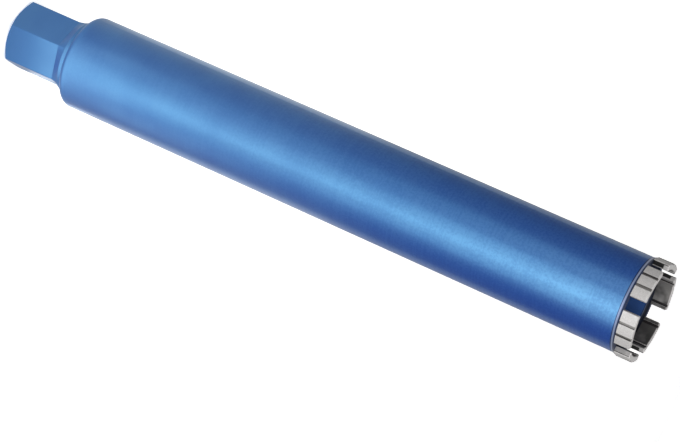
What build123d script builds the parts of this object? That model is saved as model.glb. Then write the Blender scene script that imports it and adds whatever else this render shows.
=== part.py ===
from build123d import *
from math import cos, degrees, radians, sin, tan
import os

# Diamond core bit, 2-1/2 in, with a 1-1/4 in-7 UNC female hub.
#
# The bit stands on its hub: the origin is the centre of the hub's end face, +Z runs up the tube's
# axis towards the cutting face, and +X passes through a corner of the hexagon. Sizes are in mm and
# degrees.

# ---- Crown ----------------------------------------------------------------------------------------
CUTTING_DIAMETER = 63.5      # over the outer pads of the segments
DRILLING_DEPTH = 406.4       # from the hub's shoulder to the cutting face
SEGMENT_COUNT = 6
SEGMENT_THICKNESS = 4.0      # radial
SEGMENT_HEIGHT = 10.0
SEGMENT_LENGTH = 24.0        # along the outer arc
SEGMENT_EDGE = 0.4           # bevel round the cutting face and down the ends
CROWN_TURN = 36.5            # first segment's middle, round from +X
GROOVE_WIDTH = 1.8
GROOVE_DEPTH = 0.8
OUTER_GROOVE_ANGLE = 7.6     # of each outer groove from the segment's middle
INNER_GROOVE_ANGLE = 16.0    # of each inner groove from the segment's middle

# ---- Tube -----------------------------------------------------------------------------------------
TUBE_CLEARANCE = 1.15        # radial, of the tube inside the hole that the crown cuts
TUBE_WALL = 2.0
FLARE_SETBACK = 0.15         # radial, of the tube's flared end inside the segments' outer pads
FLARE_LENGTH = 2.2

# ---- Hub ------------------------------------------------------------------------------------------
HEX_ACROSS_FLATS = 41.0
HEX_LENGTH = 38.0            # of the wrench flats
HEX_EDGE_RADIUS = 1.0
HEX_FACE_DIAMETER = 40.6     # of the flat ring left by the end chamfer
HEX_CHAMFER_ANGLE = 30.0     # of the end chamfer from the end face
BLEND_LENGTH = 5.6           # of the blend from the hexagon to the round neck
NECK_LENGTH = 3.9
FLANGE_THICKNESS = 6.0
SHOULDER_RADIUS = 4.0        # rounded outer edge of the flange
SHOULDER_FLAT = 2.1          # flat ring of the shoulder between the neck and that edge
SPIGOT_LENGTH = 8.0          # of the hub inside the tube
SPIGOT_CLEARANCE = 0.05      # radial, to the tube's bore
SPIGOT_CHAMFER = 1.0
BORE_DIAMETER = 31.8         # the thread's major diameter
BORE_CHAMFER = 1.3

# ---- Places worked out from the sizes above -------------------------------------------------------
neck_z = HEX_LENGTH + BLEND_LENGTH
shoulder_z = neck_z + NECK_LENGTH
tube_start_z = shoulder_z + FLANGE_THICKNESS
spigot_end_z = tube_start_z + SPIGOT_LENGTH
cutting_face_z = shoulder_z + DRILLING_DEPTH
tube_end_z = cutting_face_z - SEGMENT_HEIGHT

crown_radius = CUTTING_DIAMETER / 2
crown_bore_radius = crown_radius - SEGMENT_THICKNESS
tube_radius = crown_radius - TUBE_CLEARANCE
tube_bore_radius = tube_radius - TUBE_WALL
neck_radius = tube_radius - SHOULDER_RADIUS - SHOULDER_FLAT
hex_corner_radius = HEX_ACROSS_FLATS / 2 / cos(radians(30))
segment_angle = degrees(SEGMENT_LENGTH / crown_radius)


def revolved(points):
    """Solid of revolution about Z from a closed outline of (radius, height) points."""
    outline = Polyline(*points, close=True)
    return revolve(Plane.XZ * make_face(outline), Axis.Z)


def ring_edge(body, radius, height):
    """The round edge of a turned body that has this radius at this height."""
    rings = body.edges().filter_by(GeomType.CIRCLE)
    return rings.sort_by(lambda ring: abs(ring.radius - radius) + abs(ring.center().Z - height))[0]


def hexagon():
    """The wrench hexagon with eased corners, one of them on +X."""
    sharp = RegularPolygon(HEX_ACROSS_FLATS / 2, 6, major_radius=False)
    return fillet(sharp.vertices(), HEX_EDGE_RADIUS)


def end_chamfer():
    """Body of revolution that turns the corners off the hexagon's end face."""
    face_radius = HEX_FACE_DIAMETER / 2
    outside = hex_corner_radius + 1
    rise = (outside - face_radius) * tan(radians(HEX_CHAMFER_ANGLE))
    return revolved(
        [(0, 0), (face_radius, 0), (outside, rise), (outside, HEX_LENGTH), (0, HEX_LENGTH)]
    )


def make_hub():
    """Hexagon, blend, neck, shouldered flange and spigot, bored right through."""
    section = hexagon()
    flats = extrude(section, HEX_LENGTH) & end_chamfer()
    blend = loft([Pos(0, 0, HEX_LENGTH) * section, Pos(0, 0, neck_z) * Circle(neck_radius)], ruled=True)

    spigot_radius = tube_bore_radius - SPIGOT_CLEARANCE
    turned = revolved(
        [
            (0, neck_z),
            (neck_radius, neck_z),
            (neck_radius, shoulder_z),
            (tube_radius, shoulder_z),
            (tube_radius, tube_start_z),
            (spigot_radius, tube_start_z),
            (spigot_radius, spigot_end_z - SPIGOT_CHAMFER),
            (spigot_radius - SPIGOT_CHAMFER, spigot_end_z),
            (0, spigot_end_z),
        ]
    )
    turned = fillet(ring_edge(turned, tube_radius, shoulder_z), SHOULDER_RADIUS)

    bore_radius = BORE_DIAMETER / 2
    mouth_radius = bore_radius + BORE_CHAMFER
    bore = revolved(
        [
            (0, 0),
            (mouth_radius, 0),
            (bore_radius, BORE_CHAMFER),
            (bore_radius, spigot_end_z - BORE_CHAMFER),
            (mouth_radius, spigot_end_z),
            (0, spigot_end_z),
        ]
    )
    return flats + blend + turned - bore


def make_tube():
    """The barrel, from the hub's flange to the segments, flared at its cutting end."""
    return revolved(
        [
            (tube_bore_radius, tube_start_z),
            (tube_radius, tube_start_z),
            (tube_radius, tube_end_z - FLARE_LENGTH),
            (crown_radius - FLARE_SETBACK, tube_end_z),
            (tube_bore_radius, tube_end_z),
        ]
    )


def sector(inner, outer, half_angle):
    """Piece of a flat ring, centred on +X."""
    def point(radius, angle):
        return (radius * cos(radians(angle)), radius * sin(radians(angle)))

    outline = [
        ThreePointArc(point(outer, -half_angle), (outer, 0), point(outer, half_angle)),
        Line(point(outer, half_angle), point(inner, half_angle)),
        ThreePointArc(point(inner, half_angle), (inner, 0), point(inner, -half_angle)),
        Line(point(inner, -half_angle), point(outer, -half_angle)),
    ]
    return make_face(Curve() + outline)


def make_segment():
    """One grooved diamond segment on +X, standing on the tube's end."""
    ring = sector(crown_bore_radius, crown_radius, segment_angle / 2)
    body = Pos(0, 0, tube_end_z) * extrude(ring, SEGMENT_HEIGHT)
    ends = body.edges().filter_by(Axis.Z)
    body = chamfer(ends + body.faces().sort_by(Axis.Z)[-1].edges(), SEGMENT_EDGE)

    on_its_foot = (Align.CENTER, Align.CENTER, Align.MIN)
    groove = Box(2 * GROOVE_DEPTH, GROOVE_WIDTH, SEGMENT_HEIGHT, align=on_its_foot)
    grooves = ((crown_radius, OUTER_GROOVE_ANGLE), (crown_bore_radius, INNER_GROOVE_ANGLE))
    for radius, angle in grooves:
        for side in (-1, 1):
            body -= Rot(0, 0, side * angle) * Pos(radius, 0, tube_end_z) * groove
    return body


def make_parts():
    """Every sub-part by its node name."""
    parts = {"hub": make_hub(), "tube": make_tube()}
    segment = make_segment()
    for index in range(SEGMENT_COUNT):
        turn = CROWN_TURN + index * 360 / SEGMENT_COUNT
        parts[f"segment_{index + 1}"] = Rot(0, 0, turn) * segment
    return parts


os.makedirs("parts", exist_ok=True)
for name, shape in make_parts().items():
    export_step(shape, f"parts/{name}.step")
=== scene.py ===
import math

import bpy
from mathutils import Matrix, Quaternion, Vector


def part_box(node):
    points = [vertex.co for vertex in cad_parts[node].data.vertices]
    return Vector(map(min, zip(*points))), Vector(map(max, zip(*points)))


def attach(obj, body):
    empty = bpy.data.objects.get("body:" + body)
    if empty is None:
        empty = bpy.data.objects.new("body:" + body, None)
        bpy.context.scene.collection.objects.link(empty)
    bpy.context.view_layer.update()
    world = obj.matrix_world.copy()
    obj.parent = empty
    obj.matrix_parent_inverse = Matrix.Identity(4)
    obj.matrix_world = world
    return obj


# Looks for the diamond core bit: satin blue paint over a turned tube and hub, ground diamond segments
# and the hub's internal thread. Lengths are in metres and angles in degrees.

# ---- Camera, at the photograph's angle -----------------------------------------------------------
LENS = 134.01                # on a sensor 36 wide, both in mm
SENSOR_WIDTH = 36.0
NEAR_CLIP = 0.05
VIEW_AIM = Vector((-0.0236, 0.0115, 0.2516))
VIEW_DISTANCE = 1.5583
VIEW_AZIMUTH = 64.47         # of the camera, round from +X
VIEW_ELEVATION = 19.67
VIEW_ROLL = 114.28           # lays the standing bit down to the right, hub at the upper left

# ---- Studio --------------------------------------------------------------------------------------
WHITE = (1.0, 1.0, 1.0, 1.0)
BLACK = (0.0, 0.0, 0.0, 1.0)
FLOOR_REACH = 12.0
FLOOR_ROUGHNESS = 0.9
FLOOR_GLOW = (0.52, 0.52, 0.52, 1.0)     # what the lamps leave the floor short of white
LAYER = 0.0002               # between the floor, the flags on it and the lamps on them, all under the hub
FLAG_RADIUS = 2.5            # of the dark flags' fence round the bit
FLAG_HEIGHT = 3.0
FLAG_GLOW = 0.12             # stray light off the flags
GREY_SPAN = (192, 298)       # azimuths behind the bit where a cloth is grey, seen in the tube's edges
GREY_GLOW = 0.46
OPEN_SPAN = (202, 216)       # azimuths where the floor near the hub is bare, seen in a wrench flat
OPEN_REACH = 0.16
LAMP_POWER = 4               # watts to the square metre of a lamp as bright as white
FACE_UP = Matrix.Rotation(math.pi, 4, "X")
FACE_DOWN = Matrix.Identity(4)
KEY_AZIMUTH = 92
BOX_DISTANCE = 1.4           # of the softboxes from the axis
BOX_HEIGHT = 1.36
BOX_FOOT = 0.04              # under a softbox
GLOW_START = 0.07            # of the key's light on the table, from the axis
GLOW_END = 1.35

# ---- Paint and metal, as linear colours ----------------------------------------------------------
FLAKE_LIGHT = (0.108, 0.343, 0.504, 1.0)
FLAKE_DARK = (0.077, 0.273, 0.427, 1.0)
PIGMENT = (0.001, 0.049, 0.602, 1.0)
PIGMENT_SHARE = 0.3          # of the paint, the rest being metal flake
PIGMENT_ROUGHNESS = 0.5
COAT = 0.7
COAT_ROUGHNESS = 0.28
BARE_COAT = 0.1              # left of the coat on the welded rim
# the blue paint inside the bore, made darker as painted shade
BORE_PAINT_AND_SHADE = (0.042, 0.119, 0.364, 1.0)
# dark line at the paint's edge, partly painted shade in the corner at the flare's foot
PAINT_EDGE_AND_SHADE = (0.021, 0.056, 0.168, 1.0)
# painted highlight on the flare's edge
FLARE_HIGHLIGHT = (0.28, 0.35, 0.546, 1.0)
WELD_GREY = (0.027, 0.042, 0.098, 1.0)
# painted shade in the bore's mouth
BORE_MOUTH_SHADE = (0.028, 0.032, 0.049, 1.0)
PAD_LIGHT = (0.616, 0.602, 0.595, 1.0)
PAD_DARK = (0.476, 0.462, 0.455, 1.0)
GROOVE_FLOOR = (0.224, 0.217, 0.21, 1.0)
# painted shade in the grooves: on sideways faces within the outer grooves' depth and on the inner grooves'
# floors
GROOVE_SHADE = (0.042, 0.038, 0.038, 1.0)
INNER_DARK = (0.119, 0.115, 0.112, 1.0)
INNER_LIGHT = (0.42, 0.406, 0.392, 1.0)
# painted shade on the segments' ends, behind their light front
SHADED_END = (0.042, 0.042, 0.042, 1.0)
THREAD_LIGHT = (0.42, 0.42, 0.44, 1.0)
THREAD_DARK = (0.30, 0.30, 0.32, 1.0)

# ---- Grain of the finishes: features to the metre, and a stretch along X, Y and Z ----------------
RING_GRAIN = 260             # turned rings round the tube
RING_STRETCH = (0.04, 0.04, 3.0)
PATCH_GRAIN = 38
SPECK_GRAIN = 700
HUB_PATCH_GRAIN = 60
HUB_SPECK_GRAIN = 900
SINTER_GRAIN = 1700
WORN_GRAIN = 110
THREAD_GRAIN = 500           # tool marks round the thread
THREAD_STRETCH = (0.1, 0.1, 6.0)
NOISE_MOST = (0.3, 0.7)      # values that take in most of a noise
NOISE_ALL = (0.2, 0.8)       # and nearly all of it

# ---- How far the grain shows ---------------------------------------------------------------------
RING_MARK = 0.12             # of the rings in the tube's tone
SPECK_MARK = 0.24            # of specks in it
MARKS_START = 0.10           # height above which both grow, to the tube's cutting end
MARKS_FAINT = 0.2            # share of them below it
PATCH_TONES = (0.42, 0.58)   # of the patches on the tube
FLAKE_TONES = (0.35, 0.65)   # tones of the darkest and the lightest flake
BRUSHING = 0.7               # of the highlights by the turned rings
ALONG_AXIS = 0.25            # a quarter turn from round the axis
TUBE_ROUGHNESS = (0.44, 0.36)        # of the dark and the light flake
HUB_ROUGHNESS = (0.42, 0.36)
THREAD_ROUGHNESS = (0.3, 0.45)
SINTER_ROUGHNESS = (0.5, 0.35)       # of the ground pads and of the rest
SINTER_METALLIC = (0.3, 0.7)
TUBE_RELIEF = 0.00004        # heights of the grain
HUB_RELIEF = 0.00001
SINTER_RELIEF = 0.00006

# ---- Which way a surface faces: 1 away from the axis or upwards, 0 sideways, -1 to the axis ------
FACING_AWAY = (0.5, 0.9)     # where a finish for surfaces that face away starts and is full
FACING_ASIDE = (0.2, 0.5)    # where one for sideways surfaces is full and ends
FACING_AXIS = (-0.9, -0.5)   # and one for surfaces that face the axis

# ---- Where the finish changes, back from the tube's cutting end ----------------------------------
PAINT_END = 0.0031           # the paint's edge, a dark line with painted shade where the flare starts
FLARE_HIGHLIGHT_START = 0.0025        # the flare's edge, a painted highlight
WELD_START = 0.0013          # bare welded rim
EDGE_BLEND = 0.0001          # half of the blend from one of these to the next
COAT_BLEND = 0.0003          # from the coat to the bare rim
MOUTH_SHADE_START = 0.0016         # the bore's mouth, darkened as painted shade
BORE_SHADE_MIDDLE = -0.006         # the lightest side of the bore's mouth, along X, with the least painted shade
BORE_SHADE_START = 0.014           # from there to the painted shade on both sides
BORE_SHADE_FULL = 1.4 * BORE_SHADE_START         # and to where it covers all
BORE_SHADE_DEPTH = 0.01            # of the painted shade into the bore

# ---- Where the finish changes on the segments ----------------------------------------------------
PAD_DEPTH = 0.0003           # below the crown's outside, where a pad gives way to a groove
GROOVE_DEPTH = 0.0008        # of the grooves outside and inside the crown
GROOVE_BLEND = 0.2 * GROOVE_DEPTH
UNSHADED_FRONT = 0.0035         # of a segment's ends, back from its cutting face, left light and free of the painted shade
UNSHADED_FRONT_BLEND = 0.2 * UNSHADED_FRONT
END_SHADE_REACH = 0.014           # the painted shade on the segments' ends thins out this far along +Y
END_SHADE_LIGHT = 0.15            # share of the painted shade on that side
LIT_INSIDE_SPAN = (-0.025, 0.01)         # along X, from the segments darker inside to the brighter ones, as painted shade and light
LIT_INSIDE_TONES = (-0.2, 0.08)          # painted shade and light added to the tone inside, there

# ---- Hub thread, 1-1/4 in-7 UNC ------------------------------------------------------------------
THREAD_MAJOR_RADIUS = 0.0159
THREAD_PITCH = 0.0254 / 7
THREAD_DEPTH = 0.0018
THREAD_CREST = THREAD_PITCH / 4      # width of the ridge's flat top
THREAD_ROOT = THREAD_PITCH * 0.8     # width of the ridge where it meets the bore
THREAD_EMBED = 0.00005               # how far the ridge runs into the bore's wall
THREAD_RUN_IN = 0.0022               # plain bore left at each end of the hub
THREAD_RUN_OUT = 0.5                 # turns in which the ridge grows to full depth, at each end
THREAD_STEPS = 48                    # points in each turn


# ---- Node helpers --------------------------------------------------------------------------------
class Nodes:
    """Short ways to add nodes to one material."""

    def __init__(self, name):
        self.material = bpy.data.materials.new(name)
        self.material.use_nodes = True
        self.tree = self.material.node_tree
        self.shader = self.tree.nodes["Principled BSDF"]
        coordinates = self.add("ShaderNodeTexCoord")
        self.place = coordinates.outputs["Object"]
        self.normal = coordinates.outputs["Normal"]
        self.upward = self.add("ShaderNodeSeparateXYZ", Vector=self.normal).outputs["Z"]
        self.parts = self.add("ShaderNodeSeparateXYZ", Vector=self.place).outputs

    def add(self, kind, **inputs):
        """A node of this kind with these inputs set or linked."""
        node = self.tree.nodes.new(kind)
        for name, value in inputs.items():
            self.feed(node.inputs[name.replace("_", " ")], value)
        return node

    def feed(self, socket, value):
        """Links an output to the socket, or sets the socket's own value."""
        if isinstance(value, bpy.types.NodeSocket):
            self.tree.links.new(value, socket)
        else:
            socket.default_value = value

    def sum(self, operation, first, second=0.0):
        """The result of a sum on one or two numbers."""
        node = self.tree.nodes.new("ShaderNodeMath")
        node.operation = operation
        self.feed(node.inputs[0], first)
        self.feed(node.inputs[1], second)
        return node.outputs[0]

    def both(self, first, second):
        """The share where both of these hold."""
        return self.sum("MULTIPLY", first, second)

    def ramp(self, value, low, high, to_low=0.0, to_high=1.0):
        """value from low to high, eased into to_low to to_high."""
        node = self.add("ShaderNodeMapRange", Value=value)
        node.interpolation_type = "SMOOTHSTEP"
        ends = {"From Min": low, "From Max": high, "To Min": to_low, "To Max": to_high}
        for name, number in ends.items():
            node.inputs[name].default_value = number
        return node.outputs["Result"]

    def fade(self, value, low, high):
        """1 where value is under low, eased to 0 where it is over high."""
        return self.ramp(value, low, high, 1.0, 0.0)

    def noise(self, scale, stretch=(1, 1, 1), detail=3.0, roughness=0.5):
        """Noise over the object, with features of 1 / (scale * stretch) metres along each axis."""
        mapping = self.add("ShaderNodeMapping", Vector=self.place, Scale=stretch)
        node = self.add("ShaderNodeTexNoise", Vector=mapping.outputs[0], Scale=scale)
        node.inputs["Detail"].default_value = detail
        node.inputs["Roughness"].default_value = roughness
        return node.outputs["Fac"]

    def mix(self, share, first, second):
        """Mix of two colours."""
        node = self.tree.nodes.new("ShaderNodeMix")
        node.data_type = "RGBA"
        self.feed(node.inputs[0], share)
        self.feed(node.inputs[6], first)
        self.feed(node.inputs[7], second)
        return node.outputs[2]

    def radius(self):
        """Distance from the bit's axis."""
        squares = [self.sum("POWER", self.parts[axis], 2.0) for axis in "XY"]
        return self.sum("SQRT", self.sum("ADD", *squares))

    def facing(self):
        """1 where the surface faces away from the axis, -1 where it faces the axis, 0 on the ends."""
        outward = self.add("ShaderNodeCombineXYZ", X=self.parts["X"], Y=self.parts["Y"])
        product = self.tree.nodes.new("ShaderNodeVectorMath")
        product.operation = "DOT_PRODUCT"
        self.feed(product.inputs[0], outward.outputs[0])
        self.feed(product.inputs[1], self.normal)
        return self.sum("DIVIDE", product.outputs["Value"], self.radius())

    def bump(self, height, distance, strength):
        """Raises the surface by height times distance, at this strength."""
        node = self.add("ShaderNodeBump", Height=height, Distance=distance, Strength=strength)
        self.feed(self.shader.inputs["Normal"], node.outputs["Normal"])

    def blend(self, share, first, second):
        """Shows the first shader, and the second one by this share."""
        node = self.add("ShaderNodeMixShader")
        self.feed(node.inputs[0], share)
        self.feed(node.inputs[1], first.outputs[0])
        self.feed(node.inputs[2], second.outputs[0])
        self.feed(self.tree.nodes["Material Output"].inputs["Surface"], node.outputs[0])

    def flake_paint(self, tone, layers=(), coat=COAT):
        """Blue metal flake, lighter where tone is higher, and pigment under this much clear coat.

        Each layer is a share and the colour that covers both by that share.
        """
        flake = self.mix(tone, FLAKE_DARK, FLAKE_LIGHT)
        self.shader.inputs["Metallic"].default_value = 1.0
        pigment = self.add("ShaderNodeBsdfPrincipled", Roughness=PIGMENT_ROUGHNESS)
        for shader, colour in ((self.shader, flake), (pigment, PIGMENT)):
            for share, cover in layers:
                colour = self.mix(share, colour, cover)
            self.feed(shader.inputs["Base Color"], colour)
            self.feed(shader.inputs["Coat Weight"], coat)
            shader.inputs["Coat Roughness"].default_value = COAT_ROUGHNESS
        self.blend(PIGMENT_SHARE, self.shader, pigment)

    def brushed(self, amount):
        """Stretches highlights along the axis, as turning marks round it do."""
        tangent = self.tree.nodes.new("ShaderNodeTangent")
        tangent.direction_type = "RADIAL"
        tangent.axis = "Z"
        self.feed(self.shader.inputs["Tangent"], tangent.outputs[0])
        self.shader.inputs["Anisotropic"].default_value = amount
        self.shader.inputs["Anisotropic Rotation"].default_value = ALONG_AXIS


# ---- Materials -----------------------------------------------------------------------------------
def tube_marks(nodes, tube_end):
    """Turned rings and specks in the tube's paint, stronger towards its cutting end."""
    rings = nodes.noise(RING_GRAIN, RING_STRETCH)
    specks = nodes.noise(SPECK_GRAIN, detail=2.0, roughness=0.7)
    rings = nodes.ramp(rings, *NOISE_ALL, -RING_MARK, RING_MARK)
    specks = nodes.ramp(specks, *NOISE_ALL, -SPECK_MARK, SPECK_MARK)
    marked = nodes.ramp(nodes.parts["Z"], MARKS_START, tube_end, MARKS_FAINT, 1.0)
    return nodes.sum("MULTIPLY", nodes.sum("ADD", rings, specks), marked)


def bore_painted_shade(nodes, tube_end):
    """The share of painted shade at the bore's mouth, deeper on both sides of its lightest side."""
    height = nodes.parts["Z"]
    mouth = nodes.ramp(height, tube_end - 2 * MOUTH_SHADE_START, tube_end - MOUTH_SHADE_START)
    aside = nodes.sum("ABSOLUTE", nodes.sum("SUBTRACT", nodes.parts["X"], BORE_SHADE_MIDDLE))
    near_end = nodes.ramp(height, tube_end - 2 * BORE_SHADE_DEPTH, tube_end - BORE_SHADE_DEPTH)
    beside = nodes.both(nodes.ramp(aside, BORE_SHADE_START, BORE_SHADE_FULL), near_end)
    return nodes.sum("MAXIMUM", mouth, beside)


def tube_paint(tube_end):
    """Satin metallic blue over a turned tube, bare where the segments are welded on; painted highlight and
    shade at the end.
    """
    nodes = Nodes("blue_tube_paint")
    height = nodes.parts["Z"]
    patches = nodes.ramp(nodes.noise(PATCH_GRAIN, detail=2.0), *NOISE_ALL, *PATCH_TONES)
    marks = tube_marks(nodes, tube_end)
    tone = nodes.sum("ADD", marks, patches)
    inside = nodes.fade(nodes.facing(), *FACING_AXIS)
    # the bore's blue paint, darkened as painted shade
    layers = [(inside, BORE_PAINT_AND_SHADE)]
    # the paint's edge with painted shade, the flare's painted highlight and the bare weld
    for start, cover in ((PAINT_END, PAINT_EDGE_AND_SHADE), (FLARE_HIGHLIGHT_START, FLARE_HIGHLIGHT), (WELD_START, WELD_GREY)):
        change = tube_end - start
        layers.append((nodes.ramp(height, change - EDGE_BLEND, change + EDGE_BLEND), cover))
    # painted shade at the bore's mouth
    layers.append((nodes.both(inside, bore_painted_shade(nodes, tube_end)), BORE_MOUTH_SHADE))
    bare = tube_end - WELD_START
    coat = nodes.ramp(height, bare, bare + COAT_BLEND, COAT, BARE_COAT)
    nodes.flake_paint(nodes.ramp(tone, *FLAKE_TONES), layers, coat)
    nodes.feed(nodes.shader.inputs["Roughness"], nodes.ramp(tone, *NOISE_MOST, *TUBE_ROUGHNESS))
    nodes.brushed(BRUSHING)
    nodes.bump(marks, TUBE_RELIEF, strength=0.5)
    return nodes.material


def hub_paint():
    """The same paint on the milled and turned hub."""
    nodes = Nodes("blue_hub_paint")
    patches = nodes.noise(HUB_PATCH_GRAIN)
    nodes.flake_paint(patches)
    nodes.feed(nodes.shader.inputs["Roughness"], nodes.ramp(patches, *NOISE_MOST, *HUB_ROUGHNESS))
    nodes.bump(nodes.noise(HUB_SPECK_GRAIN, detail=2.0), HUB_RELIEF, strength=0.4)
    return nodes.material


def mottled_lit_inside(nodes):
    """Mottled colour of the segments' inside, with painted light making one side of the crown brighter."""
    lit_side = nodes.ramp(nodes.parts["X"], *LIT_INSIDE_SPAN, *LIT_INSIDE_TONES)
    mottle_and_light = nodes.sum("ADD", nodes.noise(WORN_GRAIN, detail=2.0), lit_side)
    return nodes.mix(nodes.ramp(mottle_and_light, *NOISE_MOST), INNER_DARK, INNER_LIGHT)


def painted_end_shade(nodes, sideways, inner, front):
    """Share of painted shade on a segment's ends: past the inner grooves, behind the light front, most at
    -Y.
    """
    height = nodes.parts["Z"]
    radius = nodes.radius()
    behind = nodes.fade(height, front - UNSHADED_FRONT, front - UNSHADED_FRONT + UNSHADED_FRONT_BLEND)
    groove = inner + GROOVE_DEPTH
    past_groove = nodes.ramp(radius, groove - GROOVE_BLEND, groove + GROOVE_BLEND)
    end_shade = nodes.ramp(nodes.parts["Y"], 0.0, END_SHADE_REACH, 1.0, END_SHADE_LIGHT)
    return nodes.both(nodes.both(sideways, behind), nodes.both(past_groove, end_shade))


def segment_metal(inner, outer, front):
    """Sintered metal: pads ground, grooves and inside dark; painted shade in grooves, on ends and on one
    side inside.
    """
    nodes = Nodes("segment_sinter")
    facing = nodes.facing()
    radius = nodes.radius()
    outside = nodes.ramp(facing, *FACING_AWAY)
    inside = nodes.fade(facing, *FACING_AXIS)
    top = nodes.ramp(nodes.upward, *FACING_AWAY)
    sideways = nodes.fade(nodes.sum("ADD", nodes.sum("ABSOLUTE", facing), top), *FACING_ASIDE)
    floor = nodes.both(outside, nodes.fade(radius, outer - 2 * PAD_DEPTH, outer - PAD_DEPTH))
    inner_groove_shade = nodes.both(inside, nodes.ramp(radius, inner + PAD_DEPTH, inner + 2 * PAD_DEPTH))
    groove = outer - GROOVE_DEPTH
    # painted shade on the outer grooves' walls and the outer strip of the ends
    wall = nodes.both(sideways, nodes.ramp(radius, groove - GROOVE_BLEND / 2, groove))
    finishes = (
        (floor, GROOVE_FLOOR),
        # mottled inside, with painted light on one side
        (inside, mottled_lit_inside(nodes)),
        # painted shade on the inner grooves' floors
        (inner_groove_shade, GROOVE_SHADE),
        # painted shade on the segments' ends, fuller towards -Y
        (painted_end_shade(nodes, sideways, inner, front), SHADED_END),
        # painted shade on the outer grooves' walls
        (wall, GROOVE_SHADE),
    )
    grain = nodes.noise(SINTER_GRAIN, roughness=0.7)
    colour = nodes.mix(nodes.ramp(grain, *NOISE_MOST), PAD_DARK, PAD_LIGHT)
    # shares of unground sinter and of painted shade, which set metallic and roughness
    unground_or_shaded = 0.0
    for share, cover in finishes:
        colour = nodes.mix(share, colour, cover)
        unground_or_shaded = nodes.sum("MAXIMUM", share, unground_or_shaded)
    nodes.feed(nodes.shader.inputs["Base Color"], colour)
    nodes.feed(nodes.shader.inputs["Metallic"], nodes.ramp(unground_or_shaded, 0.0, 1.0, *SINTER_METALLIC))
    nodes.feed(nodes.shader.inputs["Roughness"], nodes.ramp(unground_or_shaded, 0.0, 1.0, *SINTER_ROUGHNESS))
    nodes.bump(grain, SINTER_RELIEF, strength=0.6)
    return nodes.material


def thread_steel():
    """Cut steel inside the hub."""
    nodes = Nodes("thread_steel")
    marks = nodes.noise(THREAD_GRAIN, THREAD_STRETCH)
    nodes.feed(nodes.shader.inputs["Base Color"], nodes.mix(marks, THREAD_DARK, THREAD_LIGHT))
    nodes.feed(nodes.shader.inputs["Roughness"], nodes.ramp(marks, *NOISE_MOST, *THREAD_ROUGHNESS))
    nodes.shader.inputs["Metallic"].default_value = 1.0
    return nodes.material


def floor_white():
    """Matt white, seen and reflected as white but for the bit's shadow."""
    nodes = Nodes("studio_white")
    path = nodes.add("ShaderNodeLightPath").outputs
    reflected = nodes.sum("MAXIMUM", path["Is Glossy Ray"], path["Is Transmission Ray"])
    nodes.shader.inputs["Base Color"].default_value = WHITE
    nodes.shader.inputs["Roughness"].default_value = FLOOR_ROUGHNESS
    nodes.shader.inputs["Emission Color"].default_value = FLOOR_GLOW
    seen = nodes.sum("MAXIMUM", path["Is Camera Ray"], reflected)
    nodes.feed(nodes.shader.inputs["Emission Strength"], seen)
    return nodes.material


def flag_cloth(name, glow):
    """Dark cloth with this much light on it, clear from behind so that the floor keeps its light."""
    nodes = Nodes(name)
    nodes.shader.inputs["Base Color"].default_value = BLACK
    nodes.shader.inputs["Specular IOR Level"].default_value = 0.0
    nodes.shader.inputs["Emission Color"].default_value = WHITE
    nodes.shader.inputs["Emission Strength"].default_value = glow
    behind = nodes.add("ShaderNodeNewGeometry").outputs["Backfacing"]
    nodes.blend(behind, nodes.shader, nodes.add("ShaderNodeBsdfTransparent"))
    return nodes.material


# ---- Pieces --------------------------------------------------------------------------------------
def new_object(name, points, faces, material):
    """A flat-shaded mesh object in the part's frame."""
    mesh = bpy.data.meshes.new(name)
    mesh.from_pydata(points, [], faces)
    mesh.materials.append(material)
    piece = bpy.data.objects.new(name, mesh)
    bpy.context.collection.objects.link(piece)
    return piece


def thread_ridge(bottom, top, material):
    """Right-hand helical ridge on the bore's wall, running out to nothing at both ends."""
    low = bottom + THREAD_RUN_IN + THREAD_ROOT / 2
    high = top - THREAD_RUN_IN - THREAD_ROOT / 2
    turns = (high - low) / THREAD_PITCH
    count = int(turns * THREAD_STEPS)
    points = []
    for step in range(count + 1):
        turn = turns * step / count
        angle = 2 * math.pi * turn
        height = low + turn * THREAD_PITCH
        grown = min(1.0, turn / THREAD_RUN_OUT, (turns - turn) / THREAD_RUN_OUT)
        crest_radius = THREAD_MAJOR_RADIUS - THREAD_DEPTH * grown
        section = (
            (THREAD_MAJOR_RADIUS + THREAD_EMBED, -THREAD_ROOT / 2),
            (crest_radius, -THREAD_CREST / 2),
            (crest_radius, THREAD_CREST / 2),
            (THREAD_MAJOR_RADIUS + THREAD_EMBED, THREAD_ROOT / 2),
        )
        for radius, offset in section:
            points.append((radius * math.cos(angle), radius * math.sin(angle), height + offset))
    corners = len(section)
    faces = [(3, 2, 1, 0)]
    for step in range(count):
        near = corners * step
        far = near + corners
        for side in range(corners):
            other = (side + 1) % corners
            faces.append((near + side, near + other, far + other, far + side))
    last = corners * count
    faces.append((last, last + 1, last + 2, last + 3))
    return new_object("hub_thread", points, faces, material)


# ---- Studio --------------------------------------------------------------------------------------
def floor():
    """White floor under the hub, which runs out into the white world."""
    reach = FLOOR_REACH
    depth = -3 * LAYER
    signs = ((-1, -1), (1, -1), (1, 1), (-1, 1))
    corners = [(reach * side, reach * end, depth) for side, end in signs]
    new_object("floor", corners, [(0, 1, 2, 3)], floor_white())


def round_axis(azimuth, radius, height):
    """The point at this azimuth, radius and height."""
    around = math.radians(azimuth)
    return (radius * math.cos(around), radius * math.sin(around), height)


def cloth(name, azimuths, near, far, glow):
    """Cloth that the camera doesn't see, at these azimuths between two rims (radius, height)."""
    points = []
    faces = []
    for azimuth in range(*azimuths):
        start = len(points)
        for side in (azimuth, azimuth + 1):
            points.append(round_axis(side, *near))
            points.append(round_axis(side, *far))
        faces.append((start, start + 1, start + 3, start + 2))
    sheet = new_object(name, points, faces, flag_cloth(name, glow))
    sheet.visible_camera = False


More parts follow.
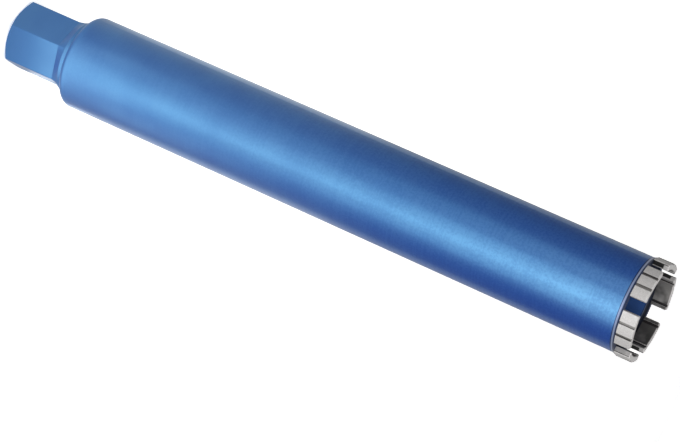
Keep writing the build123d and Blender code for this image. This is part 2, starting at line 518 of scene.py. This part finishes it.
def flags():
    """Dark fence and floor cloths, bare in a sector near the hub and grey behind the bit."""
    depth = -2 * LAYER
    centre = (LAYER, depth)      # just off the axis, so that no two corners meet
    hub_rim = (OPEN_REACH, depth)
    outer_rim = (FLAG_RADIUS, depth)
    cloth("flag_fence", (0, 360), outer_rim, (FLAG_RADIUS, FLAG_HEIGHT), FLAG_GLOW)
    cloth("flag_near", (OPEN_SPAN[1], OPEN_SPAN[0] + 360), centre, hub_rim, FLAG_GLOW)
    cloth("flag_far", (GREY_SPAN[1], GREY_SPAN[0] + 360), hub_rim, outer_rim, FLAG_GLOW)
    cloth("flag_behind", GREY_SPAN, hub_rim, outer_rim, GREY_GLOW)


def add_light(name, shape, width, height, radiance, place, turned):
    """Area light of this size that shines along its own -Z, unseen by the camera."""
    light = bpy.data.lights.new(name, "AREA")
    light.shape = shape
    light.size = width
    light.size_y = height
    area = math.pi * width * height / 4 if shape == "DISK" else width * height
    light.energy = LAMP_POWER * area * radiance
    lamp = bpy.data.objects.new(name, light)
    bpy.context.collection.objects.link(lamp)
    lamp.matrix_world = Matrix.Translation(place) @ turned
    lamp.visible_camera = False


def softbox(name, azimuth, half_angle, radiance):
    """Upright light that spans half_angle each side of azimuth, seen from the bit."""
    place = Vector(round_axis(azimuth, BOX_DISTANCE, BOX_HEIGHT / 2 + BOX_FOOT))
    outward = Vector(round_axis(azimuth, 1, 0))
    width = 2 * BOX_DISTANCE * math.tan(math.radians(half_angle))
    turned = outward.to_track_quat("Z", "Y").to_matrix().to_4x4()
    add_light(name, "RECTANGLE", width, BOX_HEIGHT, radiance, place, turned)


def table_glow(name, width, radiance):
    """The key's light on the table, in a strip from the bit towards the key."""
    length = GLOW_END - GLOW_START
    place = Vector(round_axis(KEY_AZIMUTH, (GLOW_START + GLOW_END) / 2, -LAYER))
    turned = Matrix.Rotation(math.radians(KEY_AZIMUTH), 4, "Z") @ FACE_UP
    add_light(name, "RECTANGLE", length, width, radiance, place, turned)


def round_light(name, diameter, radiance, height, turned):
    """Round light on the bit's axis."""
    add_light(name, "DISK", diameter, diameter, radiance, Vector((0, 0, height)), turned)


def lights():
    """Key beside the camera, weak fills, the table's glow and light from above, in a white world."""
    world = bpy.data.worlds.new("studio")
    world.use_nodes = True
    background = world.node_tree.nodes["Background"]
    background.inputs["Color"].default_value = WHITE
    background.inputs["Strength"].default_value = 1.0
    bpy.context.scene.world = world
    softbox("key_core", KEY_AZIMUTH, half_angle=10, radiance=2.43)
    softbox("key_edge", KEY_AZIMUTH, half_angle=32, radiance=1.46)
    softbox("fill_near", azimuth=58, half_angle=14, radiance=0.30)
    softbox("fill_far", azimuth=35, half_angle=14, radiance=0.64)
    softbox("fill_other", azimuth=128, half_angle=12, radiance=0.23)
    table_glow("table_streak", width=0.16, radiance=0.86)
    table_glow("table_wide", width=0.70, radiance=0.43)
    round_light("table_round", diameter=1.4, radiance=0.37, height=-LAYER, turned=FACE_UP)
    round_light("overhead", 2 * FLAG_RADIUS, radiance=0.43, height=FLAG_HEIGHT, turned=FACE_DOWN)


def camera():
    """The photograph's view."""
    lens = bpy.data.cameras.new("camera")
    lens.lens = LENS
    lens.sensor_width = SENSOR_WIDTH
    lens.clip_start = NEAR_CLIP
    lens.clip_end = 4 * FLOOR_REACH
    eye = bpy.data.objects.new("camera", lens)
    bpy.context.collection.objects.link(eye)
    above = math.radians(VIEW_ELEVATION)
    outward = Vector(round_axis(VIEW_AZIMUTH, math.cos(above), math.sin(above)))
    turned = outward.to_track_quat("Z", "Y") @ Quaternion((0, 0, 1), math.radians(VIEW_ROLL))
    eye.matrix_world = Matrix.Translation(VIEW_AIM + VIEW_DISTANCE * outward) @ turned.to_matrix().to_4x4()
    bpy.context.scene.camera = eye


def paint_node(name, material):
    """Gives a CAD node this material."""
    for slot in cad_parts[name].material_slots:
        slot.material = material


# ---- The scene -----------------------------------------------------------------------------------
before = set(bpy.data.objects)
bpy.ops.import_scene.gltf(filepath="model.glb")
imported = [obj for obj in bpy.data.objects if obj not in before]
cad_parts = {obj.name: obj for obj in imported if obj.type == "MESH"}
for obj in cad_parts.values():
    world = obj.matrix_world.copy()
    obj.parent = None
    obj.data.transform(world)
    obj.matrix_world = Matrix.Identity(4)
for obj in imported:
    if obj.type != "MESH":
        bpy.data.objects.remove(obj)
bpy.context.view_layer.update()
bpy.context.scene.view_settings.view_transform = "Standard"

hub_bottom, hub_top = (corner.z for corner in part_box("hub"))
tube_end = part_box("tube")[1].z
segments = [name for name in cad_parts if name.startswith("segment_")]
reaches = [corner.co.xy.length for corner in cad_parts[segments[0]].data.vertices]
crown_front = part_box(segments[0])[1].z

paint_node("tube", tube_paint(tube_end))
paint_node("hub", hub_paint())
sinter = segment_metal(min(reaches), max(reaches), crown_front)
for name in segments:
    paint_node(name, sinter)

thread = thread_ridge(hub_bottom, hub_top, thread_steel())
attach(thread, "root")

floor()
flags()
lights()
camera()
